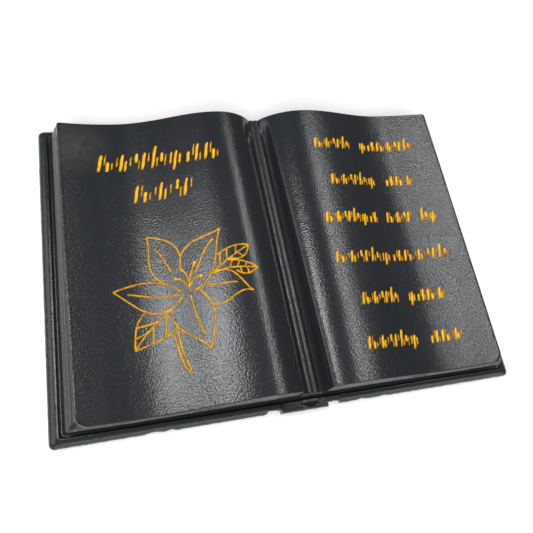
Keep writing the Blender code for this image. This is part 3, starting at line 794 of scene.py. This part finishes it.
def grained_paint_group():
    """Sprayed paint: a fine grain over a soft peel, put out as a normal."""
    group = bpy.data.node_groups.new("grained_paint", "ShaderNodeTree")
    place = group.interface.new_socket("Place", in_out="INPUT", socket_type="NodeSocketVector")
    place.hide_value = True
    for name in ("Grain Scale", "Grain Depth", "Peel Scale", "Peel Depth"):
        group.interface.new_socket(name, in_out="INPUT", socket_type="NodeSocketFloat")
    group.interface.new_socket("Normal", in_out="OUTPUT", socket_type="NodeSocketVector")
    nodes = group.nodes
    links = group.links
    given = nodes.new("NodeGroupInput")
    peel = nodes.new("ShaderNodeTexNoise")
    peel.inputs["Detail"].default_value = PEEL_DETAIL
    links.new(given.outputs["Place"], peel.inputs["Vector"])
    links.new(given.outputs["Peel Scale"], peel.inputs["Scale"])
    peel_bump = nodes.new("ShaderNodeBump")
    links.new(given.outputs["Peel Depth"], peel_bump.inputs["Distance"])
    links.new(peel.outputs["Fac"], peel_bump.inputs["Height"])
    cells = nodes.new("ShaderNodeTexVoronoi")
    cells.feature = "SMOOTH_F1"
    cells.inputs["Smoothness"].default_value = GRAIN_CELL_SMOOTHNESS
    links.new(given.outputs["Place"], cells.inputs["Vector"])
    links.new(given.outputs["Grain Scale"], cells.inputs["Scale"])
    specks = nodes.new("ShaderNodeTexNoise")
    specks.inputs["Detail"].default_value = GRAIN_DETAIL
    links.new(given.outputs["Place"], specks.inputs["Vector"])
    links.new(given.outputs["Grain Scale"], specks.inputs["Scale"])
    both = nodes.new("ShaderNodeMath")
    both.operation = "ADD"
    links.new(cells.outputs["Distance"], both.inputs[0])
    links.new(specks.outputs["Fac"], both.inputs[1])
    grain_bump = nodes.new("ShaderNodeBump")
    links.new(given.outputs["Grain Depth"], grain_bump.inputs["Distance"])
    links.new(both.outputs["Value"], grain_bump.inputs["Height"])
    links.new(peel_bump.outputs["Normal"], grain_bump.inputs["Normal"])
    put_out = nodes.new("NodeGroupOutput")
    links.new(grain_bump.outputs["Normal"], put_out.inputs["Normal"])
    return group


resin.use_nodes = True
resin_nodes = resin.node_tree.nodes
resin_links = resin.node_tree.links
resin_shader = resin_nodes["Principled BSDF"]
resin_place = resin_nodes.new("ShaderNodeTexCoord")
grained = resin_nodes.new("ShaderNodeGroup")
grained.node_tree = grained_paint_group()
grained.inputs["Grain Scale"].default_value = 1 / GRAIN_SIZE
grained.inputs["Grain Depth"].default_value = GRAIN_DEPTH
grained.inputs["Peel Scale"].default_value = 1 / PEEL_SIZE
grained.inputs["Peel Depth"].default_value = PEEL_DEPTH
resin_links.new(resin_place.outputs["Object"], grained.inputs["Place"])
resin_links.new(grained.outputs["Normal"], resin_shader.inputs["Normal"])
stretched = resin_nodes.new("ShaderNodeMapping")
stretched.inputs["Scale"].default_value = BRUSH_SCALE
resin_links.new(resin_place.outputs["Object"], stretched.inputs["Vector"])
brushed = resin_nodes.new("ShaderNodeTexNoise")
brushed.inputs["Scale"].default_value = 1.0
brushed.inputs["Detail"].default_value = BRUSH_DETAIL
resin_links.new(stretched.outputs["Vector"], brushed.inputs["Vector"])
sheen = resin_nodes.new("ShaderNodeMapRange")
sheen.inputs["From Min"].default_value = BRUSH_RANGE[0]
sheen.inputs["From Max"].default_value = BRUSH_RANGE[1]
sheen.inputs["To Min"].default_value = ROUGHNESS_RANGE[0]
sheen.inputs["To Max"].default_value = ROUGHNESS_RANGE[1]
resin_links.new(brushed.outputs["Fac"], sheen.inputs["Value"])
resin_links.new(sheen.outputs["Result"], resin_shader.inputs["Roughness"])
from_scuff = resin_nodes.new("ShaderNodeVectorMath")
from_scuff.operation = "DISTANCE"
from_scuff.inputs[1].default_value = SCUFF_PLACE
resin_links.new(resin_place.outputs["Object"], from_scuff.inputs[0])
near_scuff = resin_nodes.new("ShaderNodeMapRange")
near_scuff.inputs["From Min"].default_value = SCUFF_REACH
near_scuff.inputs["From Max"].default_value = 0.0
resin_links.new(from_scuff.outputs["Value"], near_scuff.inputs["Value"])
mottle = resin_nodes.new("ShaderNodeTexNoise")
mottle.inputs["Scale"].default_value = MOTTLE_SCALE
mottle.inputs["Detail"].default_value = MOTTLE_DETAIL
resin_links.new(resin_place.outputs["Object"], mottle.inputs["Vector"])
scuffed = resin_nodes.new("ShaderNodeMath")
scuffed.operation = "MULTIPLY"
resin_links.new(near_scuff.outputs["Result"], scuffed.inputs[0])
resin_links.new(mottle.outputs["Fac"], scuffed.inputs[1])
colored = resin_nodes.new("ShaderNodeMix")
colored.data_type = "RGBA"
colored.inputs["A"].default_value = RESIN_COLOR
colored.inputs["B"].default_value = SCUFF_COLOR
resin_links.new(scuffed.outputs["Value"], colored.inputs["Factor"])
resin_links.new(colored.outputs["Result"], resin_shader.inputs["Base Color"])

for face in casting.data.polygons:
    face.use_smooth = True
casting.data.set_sharp_from_angle(angle=SHARP_ANGLE)
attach(casting, "root")
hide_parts("book_plaque")

# Gold paint. It was wiped into the engraved lines by hand and fills them thinly: amber deep in the
# grooves and speckled, with painted shade that darkens it to brown along the rims.
PAINT_LIFT = 0.00004
PAINT_SINK = 0.00002
# The painted shade along the rims fades out between these depths in the groove, as shares of the
# tool's radius
RIM_SHADE_FADES = (0.25, 0.88)
GOLD_SPECKLE = 0.0004
GOLD_SPECKLE_DETAIL = 2.0
# The ramp's input is this share of the faded depth, which carries the painted rim shade, plus the
# speckle
GOLD_FROM_DEPTH = 0.5
GOLD_ROUGHNESS = 0.45
GOLD_SPECULAR = 0.25
GOLD_RIPPLE_STRENGTH = 0.6
GOLD_RIPPLE_DEPTH = 0.00006
# Colours along the ramp, from the painted shade at the rim to the paint's amber deep in the groove
GOLD_SHADES = (
    (0.45, (0.10, 0.036, 0.004, 1.0)),
    (0.66, (0.36, 0.150, 0.002, 1.0)),
    (0.88, (0.60, 0.325, 0.002, 1.0)),
    (1.00, (0.78, 0.480, 0.008, 1.0)),
)

groove_bm.normal_update()
outward = {v: v.normal.copy() for v in groove_bm.verts}
extruded = bmesh.ops.extrude_face_region(
    groove_bm, geom=groove_bm.faces[:], use_keep_orig=True)["geom"]
raised = {v for v in extruded if isinstance(v, bmesh.types.BMVert)}
for vert in groove_bm.verts:
    if vert in raised:
        vert.co += vert.normal * PAINT_LIFT
    else:
        vert.co -= outward[vert] * PAINT_SINK
for face in groove_bm.faces:
    face.material_index = 0
    face.smooth = True
bmesh.ops.recalc_face_normals(groove_bm, faces=groove_bm.faces)
paint_mesh = bpy.data.meshes.new("gold_lines")
groove_bm.to_mesh(paint_mesh)
groove_bm.free()
paint = bpy.data.objects.new("gold_lines", paint_mesh)
bpy.context.scene.collection.objects.link(paint)
paint.data.materials.append(gold)
# The faded depth in the groove, which darkens the paint towards the rims as painted shade
depth = paint.data.attributes.new("groove_depth", "FLOAT", "POINT")
for vert, value in zip(paint.data.vertices, depth.data):
    x, y, z = vert.co - PAGE_MIDDLE
    value.value = soft_step(*RIM_SHADE_FADES, (page_surface(x, y) - z) / LILY_LINE_RADIUS)

gold.use_nodes = True
gold_nodes = gold.node_tree.nodes
gold_links = gold.node_tree.links
gold_shader = gold_nodes["Principled BSDF"]
groove = gold_nodes.new("ShaderNodeAttribute")
groove.attribute_name = "groove_depth"
gold_place = gold_nodes.new("ShaderNodeTexCoord")
pooled = gold_nodes.new("ShaderNodeTexNoise")
pooled.inputs["Scale"].default_value = 1 / GOLD_SPECKLE
pooled.inputs["Detail"].default_value = GOLD_SPECKLE_DETAIL
gold_links.new(gold_place.outputs["Object"], pooled.inputs["Vector"])
# Painted rim shade from the groove depth, plus the paint's own speckle, read by the ramp below
thickness = gold_nodes.new("ShaderNodeMath")
thickness.operation = "MULTIPLY_ADD"
thickness.inputs[1].default_value = GOLD_FROM_DEPTH
gold_links.new(groove.outputs["Fac"], thickness.inputs[0])
gold_links.new(pooled.outputs["Fac"], thickness.inputs[2])
shades = gold_nodes.new("ShaderNodeValToRGB")
ramp = shades.color_ramp.elements
for element, (position, color) in zip(ramp, (GOLD_SHADES[0], GOLD_SHADES[-1])):
    element.position = position
    element.color = color
for position, color in GOLD_SHADES[1:-1]:
    ramp.new(position).color = color
gold_links.new(thickness.outputs["Value"], shades.inputs["Fac"])
gold_links.new(shades.outputs["Color"], gold_shader.inputs["Base Color"])
gold_shader.inputs["Roughness"].default_value = GOLD_ROUGHNESS
gold_shader.inputs["Specular IOR Level"].default_value = GOLD_SPECULAR
ripple = gold_nodes.new("ShaderNodeBump")
ripple.inputs["Strength"].default_value = GOLD_RIPPLE_STRENGTH
ripple.inputs["Distance"].default_value = GOLD_RIPPLE_DEPTH
gold_links.new(pooled.outputs["Fac"], ripple.inputs["Height"])
gold_links.new(ripple.outputs["Normal"], gold_shader.inputs["Normal"])
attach(paint, "root")
